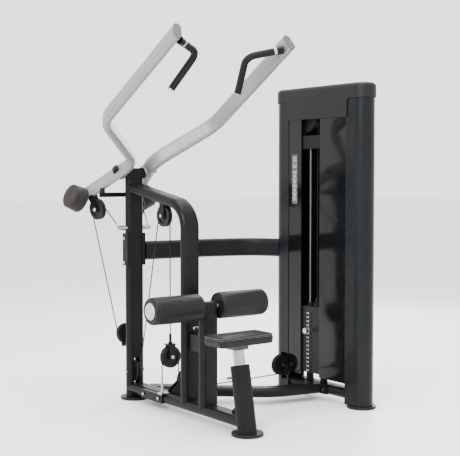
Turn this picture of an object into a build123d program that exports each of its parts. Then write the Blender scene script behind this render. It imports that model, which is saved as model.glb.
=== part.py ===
import os
from math import acos, asin, atan2, cos, pi, radians, sin
from build123d import *

# Lat pulldown machine.  +X points to the weight tower, +Y the way the user faces, +Z up.
# The origin is on the floor under the main upright.  All sizes in millimetres.

# ---- frame tube ----
tube_wide = 100
tube_thick = 50
tube_wall = 3
plate = 6
bolt_radius = 5
bolt_clearance = 0.2
bolt_head_radius = 9
bolt_head_height = 7

# ---- running fits ----
run = 0.05
face_gap = 0.3

# ---- feet and floor frame ----
foot_radius = 75
foot_height = 14
base_z = 61
upright_top = 1174

# ---- hoop over the user's knees ----
hoop_start_z = 1126
hoop_slope = 0.1813
hoop_leg_y = -518
hoop_bend = 130

# ---- roller post and rollers ----
pad_post_y = -672
pad_post_top = 527
roller_z = 561
roller_radius = 65
roller_inner = 53
roller_outer = 328
roller_axle_radius = 10
roller_cap_radius = 40
roller_cap_height = 6
crosshead_radius = 25
crosshead_half = 38
roller_travel = 120
roller_pin_z = 450
carriage_tail = 290

# ---- adjusting pins ----
pin_radius = 5
pin_housing_radius = 12
pin_housing_length = 26
pin_depth = 2
groove_clearance = 0.4

# ---- seat ----
seat_foot_y = -983
seat_rake = 0.19
seat_post_top = 311
seat_tube_wide = 57
seat_tube_thick = 33
seat_sleeve = 70
seat_tube_bottom = 120
seat_bracket_z = 387
pad_bottom = 412
pad_thick = 54
pad_wide = 310
pad_back_y = -842
pad_front_y = -992
seat_travel = 100
seat_pin_up = 264

# ---- arms ----
pivot = Vector(84.7, 0, 1210)
pivot_tilt = 21.1
pivot_toe = 3.8
tail_drop = 27.9
arm_tall = 80
arm_thick = 40
arm_wall = 3
tail_length = 304
knee_1 = (-118, 0)
knee_2 = (-283, -335.2)
arm_tip = (-984, -491.9)
knee_bend_1 = 100
knee_bend_2 = 130
pivot_axle_radius = 12
pivot_boss_radius = 22
hub_radius = 40
head_face = 28.5
cap_height = 6
cap_plug = 18

# ---- handles ----
handle_root = Vector(271.6, -857, 1777)
handle_corner = Vector(142, -785.5, 1745.6)
handle_tip = Vector(192, -656, 1593)
handle_bar_radius = 12
grip_radius = 17
handle_bend = 55
collar_length = 14

# ---- counterweights ----
weight_radius = 70
weight_thick = 74
weight_taper = 6
weight_lower = -36

# ---- pulleys ----
cable_radius = 3
groove_radius = 50
rim_height = 6
pulley_width = 24
pulley_hub = 26
pulley_axle_radius = 6
cheek_gap = 14.5
cheek = 5

# ---- cable stations ----
slot_z = 150
hoop_pulley = Vector(0, -295, 984)
tail_pulley = Vector(128, 160, 1008)
yoke_z = 338
block_z = 272
block_y = -345
base_pulley_x = 100
base_pulley_z = 145
tower_pulley_z = 150
anchor_z = 913
anchor_reach = 90
top_pulley_z = 1520

# ---- weight tower ----
tower_x = 810
tower_pulley_inset = 85
tower_pulley_x = tower_x - tower_pulley_inset
column_radius = 59
column_near_y = -314
column_far_y = -890
sheet = 3
column_flat = 64
column_bottom = foot_height
column_top = 1600
panel_bottom = 118
panel_top = 1487
slot_near_y = -479
slot_far_y = -626
cap_bottom = 1485
cap_top = 1656
cap_notch_top = 1580
cap_clearance = 2
cap_wall = 4

# ---- weight stack ----
stack_inset = 5
stack_x = tower_x - stack_inset
stack_y = -555
stack_bottom = 132
plate_pitch = 22
plate_gap = 0.1
plate_deep = 80
plate_wide = 180
waiting_count = 10
lifted_count = 5
guide_spacing = 110
guide_radius = 9
selector_radius = 10
selector_slack = 3
guide_top = 1393


# ---- shared shapes ----
def oval_bar(points, bends, wide_direction, wide, thick, wall=0):
    with BuildPart() as bar:
        with BuildLine() as route:
            if len(points) == 2:
                Line(points[0], points[1])
            else:
                FilletPolyline(*points, radius=bends)
        with BuildSketch(Plane(origin=route.line @ 0, x_dir=wide_direction, z_dir=route.line % 0)):
            SlotOverall(wide, thick)
            if wall > 0:
                SlotOverall(wide - 2 * wall, thick - 2 * wall, mode=Mode.SUBTRACT)
        sweep()
    return bar.part


def round_bar(points, bends, radius, bore=0):
    with BuildPart() as bar:
        with BuildLine() as route:
            if len(points) == 2:
                Line(points[0], points[1])
            else:
                FilletPolyline(*points, radius=bends)
        with BuildSketch(Plane(origin=route.line @ 0, z_dir=route.line % 0)):
            Circle(radius)
            if bore > 0:
                Circle(bore, mode=Mode.SUBTRACT)
        sweep()
    return bar.part


def rod(start, direction, length, radius, bore=0, end_radius=None):
    with BuildPart() as piece:
        with BuildSketch(Plane(origin=start, z_dir=direction)):
            Circle(radius)
        if end_radius is not None:
            with BuildSketch(Plane(origin=start, z_dir=direction).offset(length)):
                Circle(end_radius)
            loft()
        else:
            extrude(amount=length)
        if bore > 0:
            with BuildSketch(Plane(origin=start, z_dir=direction)):
                Circle(bore)
            extrude(amount=length, mode=Mode.SUBTRACT)
    return piece.part


def hex_head(start, direction, radius, length, sides=6):
    with BuildPart() as piece:
        with BuildSketch(Plane(origin=start, z_dir=direction)):
            RegularPolygon(radius, sides)
        extrude(amount=length)
    return piece.part


def slab(x_from, x_to, y_from, y_to, z_from, z_to):
    with BuildPart() as piece:
        with Locations(((x_from + x_to) / 2, (y_from + y_to) / 2, (z_from + z_to) / 2)):
            Box(abs(x_to - x_from), abs(y_to - y_from), abs(z_to - z_from))
    return piece.part


def outline_plate(plane, corners, thick):
    with BuildPart() as piece:
        with BuildSketch(plane):
            with BuildLine():
                Polyline(*corners, close=True)
            make_face()
        extrude(amount=thick)
    return piece.part


def grooved_wheel(center, axis, groove):
    """A cable wheel whose cable runs at the groove radius."""
    side = Vector(0, 0, 1) if abs(axis.Z) < 0.9 else Vector(1, 0, 0)
    spoke = axis.cross(side).normalized()
    half = pulley_width / 2
    rim = groove + rim_height
    floor = groove - cable_radius - 0.4
    with BuildPart() as wheel:
        with BuildSketch(Plane(origin=center, x_dir=spoke, z_dir=spoke.cross(axis))):
            with BuildLine():
                Polyline(
                    (pulley_axle_radius, -pulley_hub / 2),
                    (pulley_axle_radius + 9, -pulley_hub / 2),
                    (pulley_axle_radius + 9, -half / 2),
                    (groove * 0.78, -half / 2),
                    (groove * 0.8, -half),
                    (rim - 1, -half),
                    (rim, -half + 1),
                    (rim, -half + 4),
                    (groove, -cable_radius - 0.6),
                    (floor, -cable_radius * 0.6),
                    (floor, cable_radius * 0.6),
                    (groove, cable_radius + 0.6),
                    (rim, half - 4),
                    (rim, half - 1),
                    (rim - 1, half),
                    (groove * 0.8, half),
                    (groove * 0.78, half / 2),
                    (pulley_axle_radius + 9, half / 2),
                    (pulley_axle_radius + 9, pulley_hub / 2),
                    (pulley_axle_radius, pulley_hub / 2),
                    close=True,
                )
            make_face()
        revolve(axis=Axis(center, axis))
    return wheel.part


def mirrored(shape):
    with BuildPart() as other:
        mirror(objects=shape, about=Plane.YZ)
    return other.part


def cable(name, points, bends):
    """A cable run of straight lengths joined by tangent arcs, checked by its volume."""
    run_shape = round_bar(points, bends, cable_radius)
    with BuildLine() as route:
        if len(points) == 2:
            Line(points[0], points[1])
        else:
            FilletPolyline(*points, radius=bends)
    length = sum(edge.length for edge in route.edges())
    ratio = run_shape.volume / (length * pi * cable_radius**2)
    print("cable", name, "length", round(length, 1), "bends", bends, "volume ratio", round(ratio, 4))
    return run_shape


# ---- directions on the right arm ----
tilt = radians(pivot_tilt)
toe = radians(pivot_toe)
drop = radians(tail_drop)
pivot_axis = Vector(cos(tilt) * cos(toe), -cos(tilt) * sin(toe), sin(tilt))
level = Vector(sin(toe), cos(toe), 0)
tall_level = pivot_axis.cross(level)
tail_way = level * cos(drop) - tall_level * sin(drop)
arm_tall_way = pivot_axis.cross(tail_way)
arm_plane = Plane(origin=pivot, x_dir=tail_way, z_dir=arm_tall_way)


def on_arm(along, outward, upward):
    return pivot + tail_way * along + pivot_axis * outward + arm_tall_way * upward


# ---- outer shapes used for coping ----
upright_bottom = foot_height
upright_solid = oval_bar([(0, 0, upright_bottom), (0, 0, upright_top)], [], (1, 0, 0), tube_wide, tube_thick)
seat_way = Vector(0, seat_rake, 1).normalized()
seat_side = Vector(0, 1, -seat_rake).normalized()
seat_origin = Vector(0, seat_foot_y, 0)
seat_post_length = seat_post_top / seat_way.Z
seat_solid = oval_bar(
    [seat_origin - seat_way * 20, seat_origin + seat_way * seat_post_length],
    [],
    (1, 0, 0),
    tube_wide,
    tube_thick,
)
base_top = base_z + tube_thick / 2
base_points = [(0, 0, base_z), (0, seat_foot_y + seat_rake * base_z, base_z)]
base_solid = oval_bar(base_points, [], (1, 0, 0), tube_wide, tube_thick)
hoop_corner_z = hoop_start_z + hoop_slope * hoop_leg_y
hoop_points = [(0, 0, hoop_start_z), (0, hoop_leg_y, hoop_corner_z), (0, hoop_leg_y, base_z)]
hoop_solid = oval_bar(hoop_points, [hoop_bend], (1, 0, 0), tube_wide, tube_thick)
beam_near = column_near_y - 10
beam_far = column_far_y + 10
beam_points = [(tower_x, beam_near, base_z), (tower_x, beam_far, base_z)]
beam_solid = oval_bar(beam_points, [], (1, 0, 0), tube_wide, tube_thick)
beam_face = tower_x - tube_wide / 2
arm_points = [
    arm_plane.from_local_coords(Vector(tail_length, 0, 0)),
    arm_plane.from_local_coords(Vector(*knee_1, 0)),
    arm_plane.from_local_coords(Vector(*knee_2, 0)),
    arm_plane.from_local_coords(Vector(*arm_tip, 0)),
]
arm_solid = oval_bar(arm_points, [knee_bend_1, knee_bend_2], arm_tall_way, arm_tall, arm_thick)


def column_outline(center_y, inward, bottom, top, grow=0):
    """The round-ended shell shape of one tower column, open towards the other."""
    radius = column_radius + grow
    with BuildPart() as shape:
        with BuildSketch(Plane.XY.offset(bottom)):
            with Locations((tower_x, center_y)):
                Circle(radius)
            with Locations((tower_x, center_y + inward * column_flat / 2)):
                Rectangle(2 * radius, column_flat)
        extrude(amount=top - bottom)
    return shape.part


# ---- fixed frame ----
bolt_bore = bolt_radius + bolt_clearance
flange_low = 714
flange_high = 884
upright_bolts = [729, 857]
slot_half = 70
slot_wide = pulley_hub + 8
anchor_radius = 12.5

with BuildPart() as main_upright:
    add(
        oval_bar(
            [(0, 0, upright_bottom), (0, 0, upright_top)],
            [],
            (1, 0, 0),
            tube_wide,
            tube_thick,
            tube_wall,
        ),
    )
    add(
        slab(-slot_wide / 2, slot_wide / 2, -tube_thick, tube_thick, slot_z - slot_half, slot_z + slot_half),
        mode=Mode.SUBTRACT,
    )
    add(rod((-tube_wide, 0, slot_z), (1, 0, 0), 2 * tube_wide, pulley_axle_radius), mode=Mode.SUBTRACT)
    add(rod((-tube_wide, 0, anchor_z), (1, 0, 0), 2 * tube_wide, anchor_radius + run), mode=Mode.SUBTRACT)
    for bolt_z in upright_bolts:
        add(rod((-tube_wide, 0, bolt_z), (1, 0, 0), 2 * tube_wide, bolt_bore), mode=Mode.SUBTRACT)

with BuildPart() as base_tube:
    add(oval_bar(base_points, [], (1, 0, 0), tube_wide, tube_thick, tube_wall))
    add(upright_solid, mode=Mode.SUBTRACT)
    add(seat_solid, mode=Mode.SUBTRACT)

with BuildPart() as hoop_tube:
    add(oval_bar(hoop_points, [hoop_bend], (1, 0, 0), tube_wide, tube_thick, tube_wall))
    add(upright_solid, mode=Mode.SUBTRACT)
    add(base_solid, mode=Mode.SUBTRACT)

post_face_y = pad_post_y + tube_thick / 2
with BuildPart() as pad_post:
    add(
        oval_bar(
            [(0, pad_post_y, base_z), (0, pad_post_y, pad_post_top)],
            [],
            (1, 0, 0),
            tube_wide,
            tube_thick,
            tube_wall
        )
    )
    add(base_solid, mode=Mode.SUBTRACT)
    add(rod((0, post_face_y, roller_pin_z), (0, 1, 0), pin_housing_length, pin_housing_radius))
    add(
        rod(
            (0, post_face_y - 2 * tube_wall, roller_pin_z),
            (0, 1, 0),
            pin_housing_length * 2,
            pin_radius + run,
        ),
        mode=Mode.SUBTRACT,
    )

tie_low = 335
tie_high = 415
tie_half = 24
tie_y_from = post_face_y
tie_y_to = hoop_leg_y - tube_thick / 2
with BuildPart() as tie_bracket:
    add(slab(-tie_half, tie_half, tie_y_from, tie_y_to, tie_low, tie_high))
    add(
        slab(-tie_half + plate, tie_half - plate, tie_y_from, tie_y_to, tie_low + plate, tie_high - plate),
        mode=Mode.SUBTRACT,
    )

pin_seat_centre = seat_origin + seat_way * seat_pin_up
with BuildPart() as seat_post:
    add(
        oval_bar(
            [seat_origin - seat_way * 20, seat_origin + seat_way * seat_post_length],
            [],
            (1, 0, 0),
            tube_wide,
            tube_thick,
            tube_wall,
        )
    )
    add(
        oval_bar(
            [
                seat_origin + seat_way * (seat_post_length - seat_sleeve),
                seat_origin + seat_way * (seat_post_length + 4),
            ],
            [],
            (1, 0, 0),
            tube_wide - tube_wall,
            tube_thick - tube_wall,
        )
    )
    add(
        rod(
            pin_seat_centre + seat_side * (tube_thick / 2 - 2),
            seat_side,
            pin_housing_length,
            pin_housing_radius,
        ),
    )
    add(
        oval_bar(
            [seat_origin + seat_way * 60, seat_origin + seat_way * (seat_post_length + 30)],
            [],
            (1, 0, 0),
            seat_tube_wide + 2 * run,
            seat_tube_thick + 2 * run,
        ),
        mode=Mode.SUBTRACT,
    )
    add(
        rod(pin_seat_centre + seat_side * 5, seat_side, pin_housing_length * 3, pin_radius + run),
        mode=Mode.SUBTRACT,
    )
    add(
        slab(-200, 200, seat_foot_y - 200, seat_foot_y + 200, foot_height - 100, foot_height),
        mode=Mode.SUBTRACT,
    )

gusset_half = 4
gusset_rise = 60
gusset_run = 75
gusset_y = seat_foot_y + seat_rake * base_top + tube_thick / 2
with BuildPart() as seat_gusset:
    add(
        outline_plate(
            Plane.YZ.offset(-gusset_half),
            [
                (gusset_y - 20, base_top - 1),
                (gusset_y + gusset_run, base_top - 1),
                (gusset_y + gusset_run, base_top + 8),
                (gusset_y + 14, base_top + gusset_rise),
                (gusset_y - 10, base_top + gusset_rise),
            ],
            2 * gusset_half,
        )
    )
    add(seat_solid, mode=Mode.SUBTRACT)
    add(base_solid, mode=Mode.SUBTRACT)

foot_spots = [
    (0, 0),
    (0, seat_foot_y + seat_rake * foot_height),
    (tower_x, column_near_y),
    (tower_x, column_far_y),
]
with BuildPart() as foot_discs:
    for foot_x, foot_y in foot_spots:
        add(rod((foot_x, foot_y, 0), (0, 0, 1), foot_height, foot_radius))
    chamfer(foot_discs.edges().filter_by(GeomType.CIRCLE).filter_by(lambda e: e.radius > foot_radius - 1), 2)

# ---- pipework between the frame and the tower ----
column_near_solid = column_outline(column_near_y, -1, column_bottom, column_top)
column_far_solid = column_outline(column_far_y, 1, column_bottom, column_top)
crossbar_z = 789
upper_points = [
    (tube_wide / 2 - 4, -8, crossbar_z),
    (tower_x - 360, -50, crossbar_z),
    (tower_x - 120, -125, crossbar_z),
    (tower_x - 30, column_near_y + 44, crossbar_z),
]
with BuildPart() as upper_crossbar:
    add(oval_bar(upper_points, [800, 200], (0, 0, 1), tube_wide, tube_thick, tube_wall))
    add(column_near_solid, mode=Mode.SUBTRACT)
    add(
        slab(0, tube_wide / 2 + plate, -tube_wide, tube_wide, crossbar_z - tube_wide, crossbar_z + tube_wide),
        mode=Mode.SUBTRACT,
    )

lower_points = [(30, -102, base_z), (beam_face - 260, -545, base_z), (beam_face - plate, -598, base_z)]
lower_run_x = lower_points[1][0] - lower_points[0][0]
lower_run_y = lower_points[1][1] - lower_points[0][1]
lower_way = Vector(lower_run_x, lower_run_y, 0).normalized()
with BuildPart() as lower_crossbar:
    add(
        oval_bar(
            lower_points,
            [300],
            Vector(-lower_way.Y, lower_way.X, 0),
            tube_wide,
            tube_thick,
            tube_wall,
        )
    )
    add(base_solid, mode=Mode.SUBTRACT)
    add(slab(beam_face - plate, beam_face + 100, -800, -400, 0, 200), mode=Mode.SUBTRACT)

clamp_bolts = [-180, -320]
tower_bolts = [-663, -529]
with BuildPart() as joint_plates:
    add(tie_bracket.part)
    add(seat_gusset.part)
    add(slab(tube_wide / 2 - 14, tube_wide / 2 + plate, -24, 24, flange_low, flange_high))
    add(slab(-tube_wide / 2 - plate, -tube_wide / 2 + 14, -24, 24, flange_low, flange_high))
    add(slab(-tube_wide / 2 - plate, -tube_wide / 2 + 14, -350, -150, base_z - 22, base_z + 22))
    add(slab(beam_face - plate, beam_face + 14, -682, -510, base_z - 24, base_z + 24))
    add(upright_solid, mode=Mode.SUBTRACT)
    add(base_solid, mode=Mode.SUBTRACT)
    add(beam_solid, mode=Mode.SUBTRACT)
    for bolt_z in upright_bolts:
        add(rod((-tube_wide, 0, bolt_z), (1, 0, 0), 2 * tube_wide, bolt_bore), mode=Mode.SUBTRACT)

with BuildPart() as flange_bolts:
    for bolt_z in upright_bolts:
        reach = tube_wide / 2 + plate
        add(
            rod(
                (-reach - bolt_head_height, 0, bolt_z),
                (1, 0, 0),
                2 * (reach + bolt_head_height),
                bolt_radius,
            ),
        )
        add(hex_head((-reach - bolt_head_height, 0, bolt_z), (1, 0, 0), bolt_head_radius, bolt_head_height))
        add(hex_head((reach, 0, bolt_z), (1, 0, 0), bolt_head_radius, bolt_head_height))
    for bolt_y in clamp_bolts:
        add(
            hex_head(
                (-tube_wide / 2 - plate - bolt_head_height, bolt_y, base_z),
                (1, 0, 0),
                bolt_head_radius,
                bolt_head_height,
            )
        )
    for bolt_y in tower_bolts:
        add(
            hex_head(
                (beam_face - plate - bolt_head_height, bolt_y, base_z),
                (1, 0, 0),
                bolt_head_radius,
                bolt_head_height,
            ),
        )

# ---- pivot head and its two tilted axles ----
head_half = 58
head_deep = 30
head_top = 1227
axle_in = 60
nut_start = 24 + face_gap
nut_height = 16
right_axle_bore = rod(on_arm(0, -axle_in, 0), pivot_axis, 200, pivot_axle_radius)
with BuildPart() as pivot_head:
    add(slab(-head_half, head_half, -head_deep, head_deep, upright_top, head_top))
    chamfer(pivot_head.edges().filter_by(Axis.Z), 8)
    bevel = rod(on_arm(0, -head_face, 0), pivot_axis, 120, 150)
    add(bevel, mode=Mode.SUBTRACT)
    add(mirrored(bevel), mode=Mode.SUBTRACT)
    add(right_axle_bore, mode=Mode.SUBTRACT)
    add(mirrored(right_axle_bore), mode=Mode.SUBTRACT)

with BuildPart() as right_axle:
    add(
        rod(
            on_arm(0, -axle_in + 1, 0),
            pivot_axis,
            axle_in - 1 + nut_start + nut_height,
            pivot_axle_radius - run,
        ),
    )
    add(hex_head(on_arm(0, nut_start, 0), pivot_axis, 25, nut_height - 4, 4))
    add(rod(on_arm(0, nut_start + nut_height - 4, 0), pivot_axis, 4, 15))

with BuildPart() as pivot_axles:
    add(right_axle.part)
    add(mirrored(right_axle.part))

# ---- stop under the arm tails ----
bumper_along = 145
bumper_radius = 14
bumper_height = 26
stop_bar = 24
stop_spot = on_arm(bumper_along, 0, -arm_tall / 2 - bumper_height - 8)
stop_half = 152
stop_y = stop_spot.Y
stop_low = stop_spot.Z - stop_bar / 2
stop_high = stop_spot.Z + stop_bar / 2
with BuildPart() as stop_bracket:
    add(slab(-12, 12, 0, stop_y, stop_low, stop_high))
    add(slab(-stop_half, stop_half, stop_y - stop_bar / 2, stop_y + stop_bar / 2, stop_low, stop_high))
    add(upright_solid, mode=Mode.SUBTRACT)

with BuildPart() as right_bumper:
    add(
        rod(
            on_arm(bumper_along, 0, -arm_tall / 2 - bumper_height - 12),
            arm_tall_way,
            bumper_height + 12 - face_gap,
            bumper_radius,
        )
    )
    add(slab(0, 2 * stop_half, stop_y - 80, stop_y + 80, stop_low - 60, stop_high), mode=Mode.SUBTRACT)

guide_spots = [(stack_x, stack_y - guide_spacing / 2), (stack_x, stack_y + guide_spacing / 2)]
with BuildPart() as rubber_buffers:
    add(right_bumper.part)
    add(mirrored(right_bumper.part))
    for rod_x, rod_y in guide_spots:
        add(rod((rod_x, rod_y, base_top), (0, 0, 1), stack_bottom - base_top, 20, guide_radius + run))

# ---- cable stations fixed to the frame ----
tail_in = Vector(anchor_reach, 0, anchor_z)
yoke_lean = radians(10.56)
yoke_way = Vector(0, sin(yoke_lean), cos(yoke_lean))
slot_tangent = Vector(0, groove_radius * cos(yoke_lean), slot_z - groove_radius * sin(yoke_lean))
yoke_centre = slot_tangent + yoke_way * ((yoke_z - slot_tangent.Z) / yoke_way.Z)
yoke_axis = Vector(0, cos(yoke_lean), -sin(yoke_lean))

yoke_exit = yoke_centre + Vector(groove_radius * 0.994, 0, 0) - yoke_way * (groove_radius * 0.11)
tail_axis = (tail_in - tail_pulley).cross(yoke_exit - tail_pulley).normalized()
if tail_axis.X < 0:
    tail_axis = tail_axis * -1


def touch_point(outside, center, axis, radius, sense):
    """The point where a straight run from outside meets a wheel, on the side picked by sense."""
    gap = outside - center
    gap = gap - axis * gap.dot(axis)
    unit = gap.normalized()
    across = axis.cross(unit)
    swing = acos(radius / gap.length)
    return center + (unit * cos(swing) + across * (sense * sin(swing))) * radius


def wheel_corner(touch_a, touch_b, center):
    """Where the two straight runs leaving a wheel would cross."""
    middle = (touch_a + touch_b) * 0.5 - center
    radius = (touch_a - center).length
    return center + middle.normalized() * (radius**2 / middle.length)


tail_touch_in = touch_point(tail_in, tail_pulley, tail_axis, groove_radius, 1)
if tail_touch_in.Z < touch_point(tail_in, tail_pulley, tail_axis, groove_radius, -1).Z:
    tail_touch_in = touch_point(tail_in, tail_pulley, tail_axis, groove_radius, -1)
tail_touch_out = touch_point(yoke_exit, tail_pulley, tail_axis, groove_radius, 1)
if tail_touch_out.Y < touch_point(yoke_exit, tail_pulley, tail_axis, groove_radius, -1).Y:
    tail_touch_out = touch_point(yoke_exit, tail_pulley, tail_axis, groove_radius, -1)
tail_corner = wheel_corner(tail_touch_in, tail_touch_out, tail_pulley)
ferrule = 30
ferrule_radius = 6
cable_way_in = (tail_touch_in - tail_in).normalized()
down_way = (yoke_exit - tail_touch_out).normalized()
split_point = tail_touch_out + down_way * 45

with BuildPart() as right_rod_end:
    add(rod((anchor_reach - 10, 0, anchor_z), (1, 0, 0), 20, 11))
    add(rod(tail_in, cable_way_in, ferrule, ferrule_radius))

lug_high = base_top + 8
loop_foot_z = lug_high + 46
with BuildPart() as cable_anchors:
    add(rod((-anchor_reach + 10, 0, anchor_z), (1, 0, 0), 2 * (anchor_reach - 10), anchor_radius))
    add(right_rod_end.part)
    add(mirrored(right_rod_end.part))
    add(slab(-groove_radius - 16, -20, block_y - 18, block_y + 18, base_top, lug_high))
    add(rod((-groove_radius, block_y, base_top), (0, 0, 1), loop_foot_z - base_top, 6))
    add(hex_head((-groove_radius, block_y, lug_high), (0, 0, 1), 10, 8))

cheek_near = cheek_gap
cheek_far = cheek_gap + cheek
top_from = Vector(tower_pulley_x + groove_radius, block_y, 0)
top_to = Vector(stack_x, stack_y, 0)
top_groove = (top_to - top_from).length / 2
top_way = (top_to - top_from).normalized()
top_axis = Vector(-top_way.Y, top_way.X, 0)
top_centre = (top_from + top_to) * 0.5 + Vector(0, 0, top_pulley_z)

with BuildPart() as frame_brackets:
    add(stop_bracket.part)
    for side in (-1, 1):
        inner = side * cheek_near if side > 0 else side * cheek_far
        add(
            slab(
                inner,
                inner + cheek,
                hoop_pulley.Y - 20,
                hoop_pulley.Y + 20,
                hoop_pulley.Z - 18,
                hoop_pulley.Z + 90,
            ),
        )
        add(
            outline_plate(
                Plane(origin=(0, block_y + inner + cheek, 0), x_dir=(1, 0, 0), z_dir=(0, -1, 0)),
                [
                    (-2, base_top),
                    (-2, base_top + 14),
                    (base_pulley_x - 22, base_pulley_z + 20),
                    (base_pulley_x + 16, base_pulley_z + 20),
                    (base_pulley_x + 16, base_pulley_z - 14),
                    (52, base_top - 12),
                    (40, base_top - 12),
                ],
                cheek,
            )
        )
        add(
            outline_plate(
                Plane(origin=(0, block_y + inner + cheek, 0), x_dir=(1, 0, 0), z_dir=(0, -1, 0)),
                [
                    (tower_pulley_x - 14, tower_pulley_z - 14),
                    (tower_pulley_x - 14, tower_pulley_z + 18),
                    (tower_pulley_x + 14, tower_pulley_z + 18),
                    (tower_x - 30, base_top + 16),
                    (tower_x - 30, base_top - 12),
                    (beam_face + 2, base_top - 12),
                ],
                cheek,
            )
        )
    add(hoop_solid, mode=Mode.SUBTRACT)
    add(base_solid, mode=Mode.SUBTRACT)
    add(beam_solid, mode=Mode.SUBTRACT)
    add(rod((-50, hoop_pulley.Y, hoop_pulley.Z), (1, 0, 0), 100, pulley_axle_radius), mode=Mode.SUBTRACT)
    add(
        rod((base_pulley_x, block_y - 50, base_pulley_z), (0, 1, 0), 100, pulley_axle_radius),
        mode=Mode.SUBTRACT,
    )
    add(
        rod((tower_pulley_x, block_y - 50, tower_pulley_z), (0, 1, 0), 100, pulley_axle_radius),
        mode=Mode.SUBTRACT,
    )


def axle_bolt(center, axis, half_length):
    """A bolt axle with a hex head and a nut at its two ends."""
    with BuildPart() as bolt:
        add(rod(center - axis * half_length, axis, 2 * half_length, pulley_axle_radius - run))
        add(hex_head(center + axis * half_length, axis, 10, 6))
        add(hex_head(center - axis * half_length, axis * -1, 10, 6))
    return bolt.part


slot_centre = Vector(0, 0, slot_z)
base_centre = Vector(base_pulley_x, block_y, base_pulley_z)
tower_centre = Vector(tower_pulley_x, block_y, tower_pulley_z)
with BuildPart() as frame_bolts:
    add(flange_bolts.part)
    add(axle_bolt(slot_centre, Vector(1, 0, 0), tube_wide / 2))
    add(axle_bolt(hoop_pulley, Vector(1, 0, 0), cheek_far))
    add(axle_bolt(base_centre, Vector(0, 1, 0), cheek_far))
    add(axle_bolt(tower_centre, Vector(0, 1, 0), cheek_far))
    add(axle_bolt(top_centre, top_axis, cheek_far))

# ---- weight tower ----
with BuildPart() as tower_columns:
    add(column_near_solid)
    add(column_far_solid)
    for center_y, inward in ((column_near_y, -1), (column_far_y, 1)):
        with BuildSketch(Plane.XY.offset(column_bottom)):
            with Locations((tower_x, center_y)):
                Circle(column_radius - sheet)
            with Locations((tower_x, center_y + inward * (column_flat / 2 + 5))):
                Rectangle(2 * (column_radius - sheet), column_flat + 10)
        extrude(amount=column_top - column_bottom, mode=Mode.SUBTRACT)
    add(
        slab(
            tower_x - column_radius - 5,
            tower_x - 10,
            block_y - 24,
            block_y + 24,
            base_top - 16,
            tower_pulley_z + groove_radius + 16,
        ),
        mode=Mode.SUBTRACT,
    )

with BuildPart() as tower_base:
    add(oval_bar(beam_points, [], (1, 0, 0), tube_wide, tube_thick, tube_wall))
    for center_y, inward in ((column_near_y, -1), (column_far_y, 1)):
        add(column_outline(center_y, inward, column_bottom, base_z - tube_thick / 2, -sheet - run))
    for rod_x, rod_y in guide_spots:
        add(rod((rod_x, rod_y, 0), (0, 0, 1), 300, guide_radius - run), mode=Mode.SUBTRACT)

rail_low = 1330
rail_high = 1400
rail_front = tower_x - column_radius + sheet + 8
rail_back = tower_x + column_radius - sheet - 8 - plate
with BuildPart() as tower_top:
    add(slab(rail_front, rail_front + plate, column_far_y, column_near_y, rail_low, rail_high))
    add(slab(rail_back, rail_back + plate, column_far_y, column_near_y, rail_low, rail_high))
    add(slab(rail_front, rail_back + plate, stack_y - 90, stack_y + 90, guide_top - 8, guide_top))
    add(slab(rail_front, rail_back + plate, top_centre.Y - 45, top_centre.Y + 45, guide_top - 8, guide_top))
    for y_end in (column_near_y, column_far_y):
        add(slab(rail_front, rail_back + plate, y_end - 4, y_end + 4, rail_low, rail_high))
    for side in (-1, 1):
        inner = side * cheek_near if side > 0 else side * cheek_far
        add(
            outline_plate(
                Plane(origin=top_centre + top_axis * inner, x_dir=top_way * -1, z_dir=top_axis),
                [
                    (-40, guide_top - 4 - top_pulley_z),
                    (40, guide_top - 4 - top_pulley_z),
                    (16, 18),
                    (-16, 18),
                ],
                cheek,
            )
        )
    add(rod(top_centre - top_axis * 60, top_axis, 120, pulley_axle_radius), mode=Mode.SUBTRACT)
    add(rod(top_to + Vector(0, 0, 1300), (0, 0, 1), 200, 14), mode=Mode.SUBTRACT)
    for rod_x, rod_y in guide_spots:
        add(rod((rod_x, rod_y, 1300), (0, 0, 1), 200, guide_radius - run), mode=Mode.SUBTRACT)

with BuildPart() as tower_frame:
    add(tower_base.part)
    add(tower_top.part)

cap_length = column_near_y - column_far_y + 2 * (column_radius + cap_clearance + cap_wall)
cap_wide = 2 * (column_radius + cap_clearance + cap_wall)
tower_mid_y = (column_near_y + column_far_y) / 2
with BuildPart() as tower_cap:
    with BuildSketch(Plane.XY.offset(cap_bottom)):
        with Locations((tower_x, tower_mid_y)):
            SlotOverall(cap_length, cap_wide, rotation=90)
    extrude(amount=cap_top - cap_bottom)
    fillet(tower_cap.edges().group_by(Axis.Z)[-1], 22)
    with BuildSketch(Plane.XY.offset(cap_bottom)):
        with Locations((tower_x, tower_mid_y)):
            SlotOverall(cap_length - 2 * cap_wall, cap_wide - 2 * cap_wall, rotation=90)
    extrude(amount=cap_top - cap_bottom - 22, mode=Mode.SUBTRACT)
    for end_y, inward in ((column_near_y, -1), (column_far_y, 1)):
        with BuildSketch(Plane.YZ.offset(tower_x - 2 * column_radius)):
            with Locations((end_y + inward * (column_flat / 2 - 10) - inward * 60, cap_notch_top - 100)):
                RectangleRounded(column_flat + 120, 200, 20)
        extrude(amount=4 * column_radius, mode=Mode.SUBTRACT)

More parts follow.
